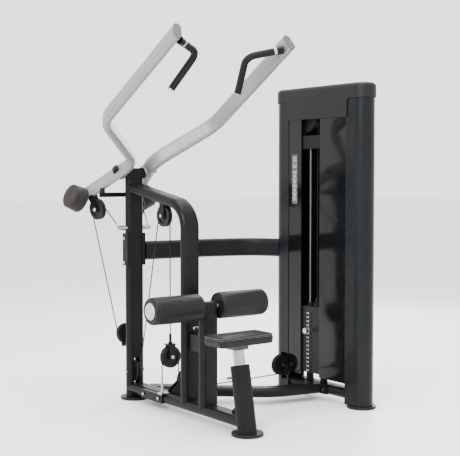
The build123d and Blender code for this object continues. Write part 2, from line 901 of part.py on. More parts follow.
panel_front = tower_x - column_radius + sheet
panel_back = tower_x + column_radius - 2 * sheet
near_edge = column_near_y - column_flat
far_edge = column_far_y + column_flat
with BuildPart() as tower_panels:
    add(slab(panel_front, panel_front + sheet, near_edge, slot_near_y, panel_bottom, panel_top))
    add(slab(panel_front, panel_front + sheet, slot_far_y, far_edge, panel_bottom, panel_top))
    add(slab(panel_front, panel_front + 7, slot_near_y, slot_near_y + sheet, panel_bottom, panel_top))
    add(slab(panel_front, panel_front + 7, slot_far_y - sheet, slot_far_y, panel_bottom, panel_top))
    add(slab(panel_back, panel_back + sheet, near_edge, far_edge, panel_bottom, panel_top))

with BuildPart() as guide_rods:
    for rod_x, rod_y in guide_spots:
        add(rod((rod_x, rod_y, base_top - 2), (0, 0, 1), guide_top - base_top + 2, guide_radius - 2 * run))


def weight_plate(level_z):
    """One weight plate with its guide bores, its centre bore and its pin hole."""
    with BuildPart() as slab_plate:
        with Locations((stack_x, stack_y, level_z + (plate_pitch - plate_gap) / 2)):
            Box(plate_deep, plate_wide, plate_pitch - plate_gap)
        chamfer(slab_plate.edges().filter_by(Axis.Z), 6)
        for rod_x, rod_y in guide_spots:
            add(
                rod((rod_x, rod_y, level_z - 1), (0, 0, 1), plate_pitch + 2, guide_radius),
                mode=Mode.SUBTRACT,
            )
        add(
            rod(
                (stack_x, stack_y, level_z - 1),
                (0, 0, 1),
                plate_pitch + 2,
                selector_radius + selector_slack,
            ),
            mode=Mode.SUBTRACT,
        )
        add(
            rod(
                (stack_x - plate_deep, stack_y, level_z + plate_pitch / 2),
                (1, 0, 0),
                plate_deep + selector_radius + selector_slack,
                pin_radius + run,
            ),
            mode=Mode.SUBTRACT,
        )
    return slab_plate.part


with BuildPart() as waiting_plates:
    for number in range(waiting_count):
        add(weight_plate(stack_bottom + number * plate_pitch))

lift_level = stack_bottom + waiting_count * plate_pitch
head_level = lift_level + lifted_count * plate_pitch
pin_level = lift_level + plate_pitch / 2
head_thick = 26
hanger_top = head_level + head_thick + 44
with BuildPart() as selector_rod:
    add(
        rod(
            (stack_x, stack_y, stack_bottom + 14),
            (0, 0, 1),
            hanger_top - stack_bottom - 14,
            selector_radius,
        ),
    )
    for number in range(waiting_count + lifted_count):
        hole_z = stack_bottom + (number + 0.5) * plate_pitch
        if hole_z > stack_bottom + 20:
            add(rod((stack_x - 50, stack_y, hole_z), (1, 0, 0), 100, pin_radius + run), mode=Mode.SUBTRACT)
    add(rod((stack_x, stack_y, head_level + head_thick), (0, 0, 1), 18, 22))
    with Locations((stack_x, stack_y, head_level + head_thick / 2)):
        Box(plate_deep, plate_wide, head_thick)
    for rod_x, rod_y in guide_spots:
        add(rod((rod_x, rod_y, head_level + head_thick), (0, 0, 1), 18, 16))
        add(rod((rod_x, rod_y, head_level - 1), (0, 0, 1), 80, guide_radius), mode=Mode.SUBTRACT)

with BuildPart() as lifted_plates:
    for number in range(lifted_count):
        add(weight_plate(lift_level + number * plate_pitch))

with BuildPart() as lifted_stack:
    add(selector_rod.part)
    add(lifted_plates.part)

pin_front = stack_x - plate_deep / 2
with BuildPart() as selector_pin:
    add(
        rod(
            (pin_front - 22, stack_y, pin_level),
            (1, 0, 0),
            22 + plate_deep / 2 + selector_radius,
            pin_radius,
        ),
    )
    add(rod((pin_front - 22, stack_y, pin_level), (-1, 0, 0), 6, 15))
    add(rod((pin_front - 28, stack_y, pin_level), (-1, 0, 0), 22, 12, 0, 15))

# ---- arms ----
with BuildPart() as right_arm_tube:
    add(oval_bar(arm_points, [knee_bend_1, knee_bend_2], arm_tall_way, arm_tall, arm_thick, arm_wall))
    add(rod(on_arm(0, -head_face + face_gap, 0), pivot_axis, head_face - face_gap + 24, pivot_boss_radius))
    add(
        rod(
            on_arm(0, -head_face + face_gap, 0),
            pivot_axis,
            head_face - face_gap - arm_thick / 2 + 2,
            34,
            0,
            hub_radius,
        )
    )
    add(rod(on_arm(-70, 4, -arm_tall / 2 - 6), arm_tall_way, 9, 9))
    add(rod(on_arm(0, -100, 0), pivot_axis, 200, pivot_axle_radius), mode=Mode.SUBTRACT)

tip_way = (arm_points[3] - arm_points[2]).normalized()
plug_wide = arm_tall - 2 * arm_wall - 0.2
plug_thick = arm_thick - 2 * arm_wall - 0.2
with BuildPart() as right_arm_caps:
    add(
        oval_bar(
            [arm_points[3], arm_points[3] + tip_way * cap_height], [], arm_tall_way, arm_tall, arm_thick
        ),
    )
    add(
        oval_bar(
            [arm_points[3] - tip_way * cap_plug, arm_points[3]], [], arm_tall_way, plug_wide, plug_thick
        ),
    )
    add(
        oval_bar(
            [arm_points[0], arm_points[0] + tail_way * cap_height],
            [],
            arm_tall_way,
            arm_tall,
            arm_thick,
        ),
    )
    add(
        oval_bar(
            [arm_points[0] - tail_way * cap_plug, arm_points[0]],
            [],
            arm_tall_way,
            plug_wide,
            plug_thick,
        ),
    )

root_way = (handle_corner - handle_root).normalized()
end_way = (handle_tip - handle_corner).normalized()
with BuildPart() as right_handle:
    add(
        round_bar(
            [handle_root - root_way * 30, handle_corner, handle_tip + end_way * 4],
            [handle_bend],
            handle_bar_radius,
        )
    )
    add(rod(handle_root - root_way * 30, root_way, 30 + collar_length, grip_radius + 2))
    add(rod(handle_tip, end_way, 10, grip_radius + 1))
    add(arm_solid, mode=Mode.SUBTRACT)

with BuildPart() as right_grip:
    add(
        round_bar(
            [handle_root + root_way * (collar_length + 0.1), handle_corner, handle_tip - end_way * 0.1],
            [handle_bend],
            grip_radius,
            handle_bar_radius + run,
        )
    )

with BuildPart() as right_arm_rubber:
    add(right_arm_caps.part)
    add(right_grip.part)

weight_centre = on_arm(tail_length, arm_thick / 2, weight_lower)
with BuildPart() as right_weight:
    add(rod(weight_centre, pivot_axis, weight_thick, weight_radius, 0, weight_radius - weight_taper))
    fillet(right_weight.edges().filter_by(GeomType.CIRCLE), 5)

hang_point = on_arm(237, -14, -arm_tall / 2 + 8)
hang_way = hang_point - tail_pulley
hang_way = (hang_way - tail_axis * hang_way.dot(tail_axis)).normalized()
hang_side = tail_axis.cross(hang_way)
bridge_start = groove_radius + rim_height + 3
with BuildPart() as right_clevis:
    for side in (-1, 1):
        inner = side * cheek_near if side > 0 else side * cheek_far
        add(
            outline_plate(
                Plane(origin=tail_pulley + tail_axis * inner, x_dir=hang_side * -1, z_dir=tail_axis),
                [(-14, -14), (14, -14), (16, bridge_start + 22), (-16, bridge_start + 22)],
                cheek,
            )
        )
    add(
        outline_plate(
            Plane(origin=tail_pulley - tail_axis * cheek_far, x_dir=hang_side * -1, z_dir=tail_axis),
            [(-16, bridge_start), (16, bridge_start), (16, bridge_start + 22), (-16, bridge_start + 22)],
            2 * cheek_far,
        )
    )
    add(arm_solid, mode=Mode.SUBTRACT)
    add(
        rod(tail_pulley - tail_axis * cheek_far, tail_axis, 2 * cheek_far, pulley_axle_radius),
        mode=Mode.SUBTRACT,
    )
    add(axle_bolt(tail_pulley, tail_axis, cheek_far))

with BuildPart() as right_tail_pulley:
    add(grooved_wheel(tail_pulley, tail_axis, groove_radius))

with BuildPart() as left_arm_tube:
    add(mirrored(right_arm_tube.part))
with BuildPart() as left_arm_rubber:
    add(mirrored(right_arm_rubber.part))
with BuildPart() as left_handle:
    add(mirrored(right_handle.part))
with BuildPart() as left_weight:
    add(mirrored(right_weight.part))
with BuildPart() as left_clevis:
    add(mirrored(right_clevis.part))
with BuildPart() as left_tail_pulley:
    add(mirrored(right_tail_pulley.part))

# ---- wheels on the frame ----
with BuildPart() as slot_pulley:
    add(grooved_wheel(slot_centre, Vector(1, 0, 0), groove_radius))
with BuildPart() as frame_pulley:
    add(grooved_wheel(hoop_pulley, Vector(1, 0, 0), groove_radius))
with BuildPart() as base_pulley:
    add(grooved_wheel(base_centre, Vector(0, 1, 0), groove_radius))
with BuildPart() as tower_pulley:
    add(grooved_wheel(tower_centre, Vector(0, 1, 0), groove_radius))
with BuildPart() as top_pulley:
    add(grooved_wheel(top_centre, top_axis, top_groove))

# ---- yoke behind the upright ----
yoke_drop = groove_radius + rim_height + 4
with BuildPart() as yoke:
    for side in (-1, 1):
        inner = side * cheek_near if side > 0 else side * cheek_far
        add(
            outline_plate(
                Plane(origin=yoke_centre + yoke_axis * inner, x_dir=(-1, 0, 0), z_dir=yoke_axis),
                [(-16, 16), (16, 16), (24, -yoke_drop), (-24, -yoke_drop)],
                cheek,
            )
        )
    add(
        outline_plate(
            Plane(origin=yoke_centre - yoke_axis * cheek_far, x_dir=(-1, 0, 0), z_dir=yoke_axis),
            [(-24, -yoke_drop), (24, -yoke_drop), (24, -yoke_drop - 8), (-24, -yoke_drop - 8)],
            2 * cheek_far,
        )
    )
    add(rod(yoke_centre - yoke_way * (yoke_drop + 8), yoke_way * -1, 24, 7))
    add(
        rod(yoke_centre - yoke_axis * cheek_far, yoke_axis, 2 * cheek_far, pulley_axle_radius),
        mode=Mode.SUBTRACT,
    )
    add(axle_bolt(yoke_centre, yoke_axis, cheek_far))

with BuildPart() as yoke_pulley:
    add(grooved_wheel(yoke_centre, yoke_axis, groove_radius))

# ---- floating block inside the hoop ----
block_centre = Vector(0, block_y, block_z)
block_rise = groove_radius + rim_height + 4
stud_top = block_z + block_rise + 56
with BuildPart() as block:
    for side in (-1, 1):
        inner = side * cheek_near if side > 0 else side * cheek_far
        add(slab(-18, 18, block_y + inner, block_y + inner + cheek, block_z - 16, block_z + block_rise))
    add(
        slab(
            -24,
            24,
            block_y - cheek_far,
            block_y + cheek_far,
            block_z + block_rise,
            block_z + block_rise + 6,
        ),
    )
    add(rod((0, block_y, block_z + block_rise + 6), (0, 0, 1), stud_top - block_z - block_rise - 6, 7))
    add(hex_head((0, block_y, block_z + block_rise + 6), (0, 0, 1), 12, 9))
    add(
        rod((0, block_y - cheek_far, block_z), (0, 1, 0), 2 * cheek_far, pulley_axle_radius),
        mode=Mode.SUBTRACT,
    )
    add(axle_bolt(block_centre, Vector(0, 1, 0), cheek_far))

with BuildPart() as block_pulley:
    add(grooved_wheel(block_centre, Vector(0, 1, 0), groove_radius))

# ---- roller carriage, rollers and pin ----
with BuildPart() as roller_carriage:
    add(
        oval_bar(
            [(0, pad_post_y, carriage_tail), (0, pad_post_y, roller_z)],
            [],
            (1, 0, 0),
            tube_wide - 2 * tube_wall - 2 * run,
            tube_thick - 2 * tube_wall - 2 * run,
            tube_wall,
        )
    )
    add(slab(-pin_radius - groove_clearance, pin_radius + groove_clearance, pad_post_y + 5, pad_post_y + 60,
             roller_pin_z - roller_travel - 10, roller_pin_z + 10), mode=Mode.SUBTRACT)
    add(rod((-crosshead_half, pad_post_y, roller_z), (1, 0, 0), 2 * crosshead_half, crosshead_radius))
    add(rod((-100, pad_post_y, roller_z), (1, 0, 0), 200, roller_axle_radius), mode=Mode.SUBTRACT)

with BuildPart() as roller_bar:
    add(rod((-roller_outer, pad_post_y, roller_z), (1, 0, 0), 2 * roller_outer, roller_axle_radius - run))

with BuildPart() as rollers:
    for side in (-1, 1):
        start = roller_inner if side > 0 else -roller_outer
        add(
            rod(
                (start, pad_post_y, roller_z),
                (1, 0, 0),
                roller_outer - roller_inner,
                roller_radius,
                roller_axle_radius,
            ),
        )
    fillet(rollers.edges().filter_by(GeomType.CIRCLE).filter_by(lambda e: e.radius > roller_radius - 1), 8)

with BuildPart() as roller_axle:
    add(roller_bar.part)
    for side in (-1, 1):
        add(
            rod(
                (side * roller_outer, pad_post_y, roller_z),
                (side, 0, 0),
                roller_cap_height,
                roller_cap_radius,
                0,
                roller_cap_radius - 6,
            )
        )


def pull_pin(tip, way, stem):
    """A spring pin with a cross handle."""
    with BuildPart() as puller:
        add(rod(tip, way, stem, pin_radius))
        add(rod(tip + way * (stem - 12), way, 12, 10))
        add(rod(tip + way * (stem + 4) - Vector(30, 0, 0), (1, 0, 0), 60, 6))
    return puller.part


roller_pin_tip = Vector(0, post_face_y - tube_wall - run - pin_depth, roller_pin_z)
with BuildPart() as roller_pin:
    add(pull_pin(roller_pin_tip, Vector(0, 1, 0), tube_wall + pin_depth + pin_housing_length + 20))

seat_pin_tip = pin_seat_centre + seat_side * (seat_tube_thick / 2 - pin_depth)
with BuildPart() as seat_pin:
    add(
        pull_pin(
            seat_pin_tip,
            seat_side,
            tube_thick / 2 - seat_tube_thick / 2 + pin_depth + pin_housing_length + 18
        )
    )

# ---- seat ----
seat_bracket_half = 40
with BuildPart() as seat_slide:
    add(
        oval_bar(
            [
                seat_origin + seat_way * seat_tube_bottom,
                seat_origin + seat_way * (seat_bracket_z / seat_way.Z + 6),
            ],
            [],
            (1, 0, 0),
            seat_tube_wide,
            seat_tube_thick,
            tube_wall,
        )
    )
    slot_from = seat_pin_up - seat_travel - 10
    slot_to = seat_pin_up + 10
    with BuildSketch(Plane(origin=seat_origin + seat_side * 5, x_dir=(-1, 0, 0), z_dir=seat_side)):
        with Locations((0, (slot_from + slot_to) / 2)):
            Rectangle(2 * (pin_radius + groove_clearance), slot_to - slot_from)
    extrude(amount=40, mode=Mode.SUBTRACT)

bracket_y = seat_foot_y + seat_rake * pad_bottom
with BuildPart() as seat_carriage:
    add(
        slab(
            -seat_bracket_half,
            seat_bracket_half,
            bracket_y - 32,
            bracket_y + 32,
            seat_bracket_z,
            pad_bottom - 5,
        ),
    )
    add(slab(-110, 110, bracket_y - 50, bracket_y + 50, pad_bottom - 5, pad_bottom))
    add(seat_slide.part)

with BuildPart() as seat_pad:
    add(slab(-pad_wide / 2, pad_wide / 2, pad_front_y, pad_back_y, pad_bottom, pad_bottom + pad_thick))
    fillet(seat_pad.edges().filter_by(Axis.Z), 22)
    fillet(seat_pad.edges().group_by(Axis.Z)[-1], 14)

# ---- cables ----
with BuildPart() as right_arm_cable:
    add(
        cable(
            "right_arm_cable",
            [tail_in + cable_way_in * ferrule, tail_corner, split_point],
            [groove_radius],
        ),
    )
with BuildPart() as left_arm_cable:
    add(mirrored(right_arm_cable.part))

yoke_touch = touch_point(split_point, yoke_centre, yoke_axis, groove_radius, 1)
if yoke_touch.X < touch_point(split_point, yoke_centre, yoke_axis, groove_radius, -1).X:
    yoke_touch = touch_point(split_point, yoke_centre, yoke_axis, groove_radius, -1)
yoke_touch_left = Vector(-yoke_touch.X, yoke_touch.Y, yoke_touch.Z)
flat_split = split_point - yoke_axis * (split_point - yoke_centre).dot(yoke_axis)
flat_left = Vector(-flat_split.X, flat_split.Y, flat_split.Z)
yoke_corner = wheel_corner(yoke_touch, yoke_touch_left, yoke_centre)
with BuildPart() as yoke_cable:
    add(cable("yoke_cable", [flat_split, yoke_corner, flat_left], [groove_radius]))

join_step = 4
slot_join = slot_tangent + yoke_way * join_step
with BuildPart() as slot_cable:
    add(cable("slot_cable", [yoke_centre - yoke_way * (yoke_drop + 32), slot_join], []))

# under the slot pulley, slanting up to the hoop pulley and over it
hoop_gap = hoop_pulley - slot_centre
gap_angle = atan2(hoop_gap.Z, hoop_gap.Y)
line_angle = gap_angle - asin(2 * groove_radius / hoop_gap.length)
line_left = Vector(0, -sin(line_angle), cos(line_angle))
slot_leave = slot_centre + line_left * groove_radius
hoop_meet = hoop_pulley - line_left * groove_radius
hoop_leave = Vector(0, hoop_pulley.Y - groove_radius, hoop_pulley.Z)
slot_corner = wheel_corner(slot_tangent, slot_leave, slot_centre)
hoop_corner = wheel_corner(hoop_meet, hoop_leave, hoop_pulley)
hoop_join = hoop_leave - Vector(0, 0, join_step)
base_turn = Vector(base_pulley_x - groove_radius, block_y, base_pulley_z + join_step)
under_base = Vector(base_pulley_x - groove_radius, block_y, base_pulley_z - groove_radius)
under_tower = Vector(tower_pulley_x + groove_radius, block_y, tower_pulley_z - groove_radius)
top_arc_1 = top_from + Vector(0, 0, top_pulley_z + top_groove)
top_arc_2 = top_to + Vector(0, 0, top_pulley_z + top_groove)
top_drop = top_to + Vector(0, 0, top_pulley_z - join_step)
with BuildPart() as fixed_cables:
    add(
        cable(
            "frame cable",
            [slot_join, slot_corner, hoop_corner, hoop_join],
            [groove_radius, groove_radius],
        )
    )
    add(
        cable(
            "tower cable",
            [base_turn, under_base, under_tower, top_arc_1, top_arc_2, top_drop],
            [groove_radius - 0.05, groove_radius - 0.05, top_groove - 0.05, top_groove - 0.1],
        )
    )

with BuildPart() as block_cable:
    add(cable("block_cable", [hoop_join, (0, block_y, stud_top)], []))

loop_top = block_z + groove_radius
with BuildPart() as loop_cable:
    add(
        cable(
            "loop_cable",
            [
                (-groove_radius, block_y, loop_foot_z),
                (-groove_radius, block_y, loop_top),
                (groove_radius, block_y, loop_top),
                (groove_radius, block_y, base_pulley_z + join_step),
            ],
            [groove_radius - 0.05, groove_radius - 0.1],
        )
    )

with BuildPart() as stack_cable:
    add(cable("stack_cable", [top_drop, top_to + Vector(0, 0, hanger_top)], []))

# ---- write every piece ----
pieces = {
    "main_upright": main_upright,
    "base_tube": base_tube,
    "hoop_tube": hoop_tube,
    "pad_post": pad_post,
    "seat_post": seat_post,
    "foot_discs": foot_discs,
    "upper_crossbar": upper_crossbar,
    "lower_crossbar": lower_crossbar,
    "joint_plates": joint_plates,
    "frame_bolts": frame_bolts,
    "pivot_head": pivot_head,
    "pivot_axles": pivot_axles,
    "rubber_buffers": rubber_buffers,
    "cable_anchors": cable_anchors,
    "frame_brackets": frame_brackets,
    "tower_frame": tower_frame,
    "tower_columns": tower_columns,
    "tower_cap": tower_cap,
    "tower_panels": tower_panels,
    "guide_rods": guide_rods,
    "waiting_plates": waiting_plates,
    "fixed_cables": fixed_cables,
    "right_arm_tube": right_arm_tube,
    "right_arm_rubber": right_arm_rubber,
    "right_handle": right_handle,
    "right_weight": right_weight,
    "right_clevis": right_clevis,
    "right_tail_pulley": right_tail_pulley,
    "right_arm_cable": right_arm_cable,
    "left_arm_tube": left_arm_tube,
    "left_arm_rubber": left_arm_rubber,
    "left_handle": left_handle,
    "left_weight": left_weight,
    "left_clevis": left_clevis,
    "left_tail_pulley": left_tail_pulley,
    "left_arm_cable": left_arm_cable,
    "slot_pulley": slot_pulley,
    "frame_pulley": frame_pulley,
    "base_pulley": base_pulley,
    "tower_pulley": tower_pulley,
    "top_pulley": top_pulley,
    "yoke": yoke,
    "yoke_pulley": yoke_pulley,
    "yoke_cable": yoke_cable,
    "slot_cable": slot_cable,
    "block": block,
    "block_pulley": block_pulley,
    "block_cable": block_cable,
    "loop_cable": loop_cable,
    "lifted_stack": lifted_stack,
    "selector_pin": selector_pin,
    "stack_cable": stack_cable,
    "roller_carriage": roller_carriage,
    "roller_axle": roller_axle,
    "rollers": rollers,
    "roller_pin": roller_pin,
    "seat_carriage": seat_carriage,
    "seat_pad": seat_pad,
    "seat_pin": seat_pin,
}
os.makedirs("parts", exist_ok=True)
for piece_name, piece in pieces.items():
    piece.part.label = piece_name
    export_step(piece.part, "parts/" + piece_name + ".step")
print(len(pieces), "pieces")
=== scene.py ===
import math
import bpy
import bmesh
from mathutils import Vector, Matrix


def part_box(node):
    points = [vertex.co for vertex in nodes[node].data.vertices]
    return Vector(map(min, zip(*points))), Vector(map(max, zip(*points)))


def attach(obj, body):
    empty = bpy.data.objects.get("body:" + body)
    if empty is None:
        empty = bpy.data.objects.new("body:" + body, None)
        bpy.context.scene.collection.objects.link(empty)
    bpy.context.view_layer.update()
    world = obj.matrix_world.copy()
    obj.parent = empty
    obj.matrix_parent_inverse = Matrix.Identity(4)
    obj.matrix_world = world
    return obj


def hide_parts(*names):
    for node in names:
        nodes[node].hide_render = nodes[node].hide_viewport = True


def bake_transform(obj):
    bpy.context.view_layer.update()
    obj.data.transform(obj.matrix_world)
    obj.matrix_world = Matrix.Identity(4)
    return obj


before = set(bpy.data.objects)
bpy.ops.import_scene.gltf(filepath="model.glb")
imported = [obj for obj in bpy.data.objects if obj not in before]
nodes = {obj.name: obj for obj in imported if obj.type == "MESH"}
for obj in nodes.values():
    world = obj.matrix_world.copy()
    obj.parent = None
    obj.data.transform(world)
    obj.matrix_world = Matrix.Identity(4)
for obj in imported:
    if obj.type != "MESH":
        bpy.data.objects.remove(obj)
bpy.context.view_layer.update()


# ---------- materials ----------
def coords(nt, scale=(1, 1, 1)):
    tc = nt.nodes.new("ShaderNodeTexCoord")
    mp = nt.nodes.new("ShaderNodeMapping")
    mp.inputs["Scale"].default_value = scale
    nt.links.new(tc.outputs["Object"], mp.inputs["Vector"])
    return mp.outputs["Vector"]


def noise(nt, vec, scale, detail=4.0, rough=0.5):
    n = nt.nodes.new("ShaderNodeTexNoise")
    n.inputs["Scale"].default_value = scale
    n.inputs["Detail"].default_value = detail
    n.inputs["Roughness"].default_value = rough
    nt.links.new(vec, n.inputs["Vector"])
    return n.outputs["Fac"]


def voronoi(nt, vec, scale):
    n = nt.nodes.new("ShaderNodeTexVoronoi")
    n.inputs["Scale"].default_value = scale
    nt.links.new(vec, n.inputs["Vector"])
    return n.outputs["Distance"]


def ranged(nt, value, low, high, a=0.3, b=0.7):
    n = nt.nodes.new("ShaderNodeMapRange")
    n.inputs["From Min"].default_value = a
    n.inputs["From Max"].default_value = b
    n.inputs["To Min"].default_value = low
    n.inputs["To Max"].default_value = high
    nt.links.new(value, n.inputs["Value"])
    return n.outputs["Result"]


def tinted(nt, fac, dark, light):
    n = nt.nodes.new("ShaderNodeMix")
    n.data_type = "RGBA"
    n.inputs["A"].default_value = (*dark, 1)
    n.inputs["B"].default_value = (*light, 1)
    nt.links.new(fac, n.inputs["Factor"])
    return n.outputs["Result"]


def bumped(nt, heights):
    """heights: list of (socket, distance in metres, strength)."""
    normal = None
    for socket, distance, strength in heights:
        b = nt.nodes.new("ShaderNodeBump")
        b.inputs["Distance"].default_value = distance
        b.inputs["Strength"].default_value = strength
        nt.links.new(socket, b.inputs["Height"])
        if normal is not None:
            nt.links.new(normal, b.inputs["Normal"])
        normal = b.outputs["Normal"]
    return normal


def surface(name, color, rough, metallic=0.0, spread=0.15, blotch=9.0, grain=None, coat=0.0,
            rough_spread=0.06, stretch=(1, 1, 1), level=0.5):
    """A material with blotches of colour, an uneven shine and layers of bump.

    grain: (kind, texture scale, depth in metres, strength) for each layer of bump.
    """
    mat = bpy.data.materials.new(name)
    mat.use_nodes = True
    nt = mat.node_tree
    p = nt.nodes["Principled BSDF"]
    vec = coords(nt, stretch)
    patch = noise(nt, vec, blotch, 3.0)
    dark = tuple(c * (1 - spread) for c in color)
    light = tuple(min(1, c * (1 + spread)) for c in color)
    base = tinted(nt, ranged(nt, patch, 0, 1), dark, light)
    nt.links.new(base, p.inputs["Base Color"])
    fine = noise(nt, vec, blotch * 6, 4.0)
    smoothest = max(0.02, rough - rough_spread)
    roughest = min(1, rough + rough_spread)
    nt.links.new(ranged(nt, fine, smoothest, roughest), p.inputs["Roughness"])
    p.inputs["Metallic"].default_value = metallic
    p.inputs["Coat Weight"].default_value = coat
    p.inputs["Coat Roughness"].default_value = 0.06
    p.inputs["Specular IOR Level"].default_value = level
    heights = []
    for kind, scale, distance, strength in grain or ():
        socket = noise(nt, vec, scale, 3.0) if kind == "noise" else voronoi(nt, vec, scale)
        heights.append((socket, distance, strength))
    if heights:
        nt.links.new(bumped(nt, heights), p.inputs["Normal"])
    return mat


M = {
    "frame": surface("frame_black_coat", (0.0045, 0.0050, 0.0056), 0.36, 0.0, 0.18, 5.0,
                     [("noise", 900, 0.00008, 0.25), ("noise", 160, 0.00012, 0.08)], level=0.12),
    "silver": surface("arm_silver_coat", (0.235, 0.235, 0.226), 0.38, 0.35, 0.05, 6.0,
                      [("noise", 1400, 0.00005, 0.2), ("noise", 220, 0.00008, 0.08)], level=0.14),
    "zinc": surface("zinc_steel", (0.42, 0.42, 0.41), 0.27, 1.0, 0.10, 30.0, [("noise", 700, 0.00006, 0.2)]),
    "chrome": surface("chrome_tube", (0.40, 0.385, 0.36), 0.18, 1.0, 0.08, 12.0,
                      [("noise", 500, 0.00004, 0.12)], stretch=(1, 1, 0.2)),
    "rod": surface("ground_rod", (0.11, 0.11, 0.11), 0.25, 1.0, 0.08, 12.0,
                   [("noise", 500, 0.00004, 0.12)], stretch=(1, 1, 0.2)),
    "iron": surface("stack_plate_paint", (0.008, 0.0085, 0.009), 0.42, 0.0, 0.25, 25.0,
                    [("noise", 420, 0.0002, 0.35)], level=0.14),
    "drum": surface("counterweight_paint", (0.019, 0.0172, 0.015), 0.55, 0.0, 0.2, 22.0,
                    [("noise", 650, 0.0003, 0.45), ("voronoi", 500, 0.0002, 0.2)], level=0.12),
    "rubber": surface("black_rubber", (0.0055, 0.0055, 0.006), 0.55, 0.0, 0.2, 30.0,
                      [("voronoi", 900, 0.0002, 0.35)], level=0.14),
    "wheel": surface("pulley_nylon", (0.0075, 0.0082, 0.0088), 0.42, 0.0, 0.12, 30.0,
                     [("noise", 600, 0.00008, 0.2)], level=0.15),
    "cap": surface("cap_moulding", (0.0085, 0.0094, 0.0105), 0.45, 0.0, 0.10, 8.0,
                   [("voronoi", 1300, 0.0001, 0.35), ("noise", 60, 0.0003, 0.06)], level=0.15),
    "column": surface("column_satin", (0.0055, 0.0064, 0.0074), 0.27, 0.0, 0.12, 4.0,
                      [("noise", 1200, 0.00005, 0.2), ("noise", 14, 0.0008, 0.05)], level=0.15),
    "gloss": surface("panel_gloss", (0.0035, 0.0040, 0.0046), 0.09, 0.0, 0.1, 3.0,
                     [("noise", 6, 0.0015, 0.04)], rough_spread=0.03, level=0.22),
    "cable": surface("cable_nylon", (0.006, 0.006, 0.006), 0.3, 0.0, 0.2, 60.0,
                     [("noise", 300, 0.0001, 0.3)], level=0.15),
    "leather": surface("black_leatherette", (0.0050, 0.0055, 0.0064), 0.42, 0.0, 0.14, 14.0,
                       [("voronoi", 620, 0.0003, 0.4), ("noise", 55, 0.0010, 0.3),
                        ("noise", 16, 0.0025, 0.2)],
                       level=0.18),
    "thread": surface("pale_thread", (0.20, 0.21, 0.22), 0.75, 0.0, 0.15, 200.0,
                      [("noise", 3000, 0.0001, 0.5)]),
    "dark_thread": surface("dark_thread", (0.012, 0.0125, 0.0135), 0.7, 0.0, 0.15, 200.0,
                           [("noise", 3000, 0.0001, 0.5)]),
    "disc": surface("pale_end_disc", (0.40, 0.41, 0.41), 0.32, 0.15, 0.06, 40.0,
                    [("noise", 700, 0.00006, 0.2)], coat=0.1),
    "print": surface("pale_print", (0.34, 0.35, 0.36), 0.5, 0.0, 0.05, 80.0,
                     [("noise", 2500, 0.00003, 0.3)]),
    "plate_print": surface("instruction_plate", (0.050, 0.051, 0.054), 0.4, 0.0, 0.08, 80.0,
                           [("noise", 2500, 0.00003, 0.2)]),
    "foot": surface("foot_coat", (0.0075, 0.008, 0.009), 0.4, 0.0, 0.2, 20.0,
                    [("noise", 700, 0.0002, 0.35)], level=0.14),
}


def two_zone(name, axis, limit, low_mat, high_color, high_metallic, use_abs=False):
    """A copy of a material that changes at a joint line between two pieces of one node."""
    mat = low_mat.copy()
    mat.name = name
    nt = mat.node_tree
    p = nt.nodes["Principled BSDF"]
    tc = nt.nodes.new("ShaderNodeTexCoord")
    sep = nt.nodes.new("ShaderNodeSeparateXYZ")
    nt.links.new(tc.outputs["Object"], sep.inputs["Vector"])
    value = sep.outputs[axis]
    if use_abs:
        ab = nt.nodes.new("ShaderNodeMath")
        ab.operation = "ABSOLUTE"
        nt.links.new(value, ab.inputs[0])
        value = ab.outputs[0]
    test = nt.nodes.new("ShaderNodeMath")
    test.operation = "GREATER_THAN"
    test.inputs[1].default_value = limit
    nt.links.new(value, test.inputs[0])
    old = p.inputs["Base Color"].links[0].from_socket
    mix = nt.nodes.new("ShaderNodeMix")
    mix.data_type = "RGBA"
    mix.inputs["B"].default_value = (*high_color, 1)
    nt.links.new(old, mix.inputs["A"])
    nt.links.new(test.outputs[0], mix.inputs["Factor"])
    nt.links.new(mix.outputs["Result"], p.inputs["Base Color"])
    low_metallic = p.inputs["Metallic"].default_value
    metallic = ranged(nt, test.outputs[0], low_metallic, high_metallic, 0, 1)
    nt.links.new(metallic, p.inputs["Metallic"])
    return mat


seat_bracket_z = 0.3865
arm_plug_x = 0.284
bracket_black = (0.0075, 0.0083, 0.0092)
plug_grey = (0.085, 0.087, 0.09)
M["seat_tube"] = two_zone("seat_tube_and_bracket", "Z", seat_bracket_z, M["chrome"], bracket_black, 0.0)
M["grip"] = two_zone("grip_and_plug", "X", arm_plug_x, M["rubber"], plug_grey, 0.0, True)

PAINT = {
    "frame": ["main_upright", "base_tube", "hoop_tube", "pad_post", "seat_post", "upper_crossbar",
              "lower_crossbar", "joint_plates", "pivot_head", "frame_brackets", "tower_frame", "yoke",
              "block", "roller_carriage", "right_clevis", "left_clevis", "right_handle", "left_handle"],
    "silver": ["right_arm_tube", "left_arm_tube"],
    "zinc": ["frame_bolts", "cable_anchors", "roller_pin", "seat_pin", "selector_pin"],
    "rod": ["guide_rods"],
    "seat_tube": ["seat_carriage"],
    "iron": ["waiting_plates", "lifted_stack"],
    "drum": ["right_weight", "left_weight"],
    "rubber": ["rubber_buffers"],
    "grip": ["right_arm_rubber", "left_arm_rubber"],
    "wheel": ["right_tail_pulley", "left_tail_pulley", "slot_pulley", "frame_pulley", "base_pulley",
              "tower_pulley", "top_pulley", "yoke_pulley", "block_pulley"],
    "cap": ["tower_cap"],
    "column": ["tower_columns", "pivot_axles"],
    "gloss": ["tower_panels"],
    "cable": ["fixed_cables"],
    "disc": ["roller_axle"],
    "foot": ["foot_discs"],
}
for key, names in PAINT.items():
    for n in names:
        nodes[n].data.materials.clear()
        nodes[n].data.materials.append(M[key])


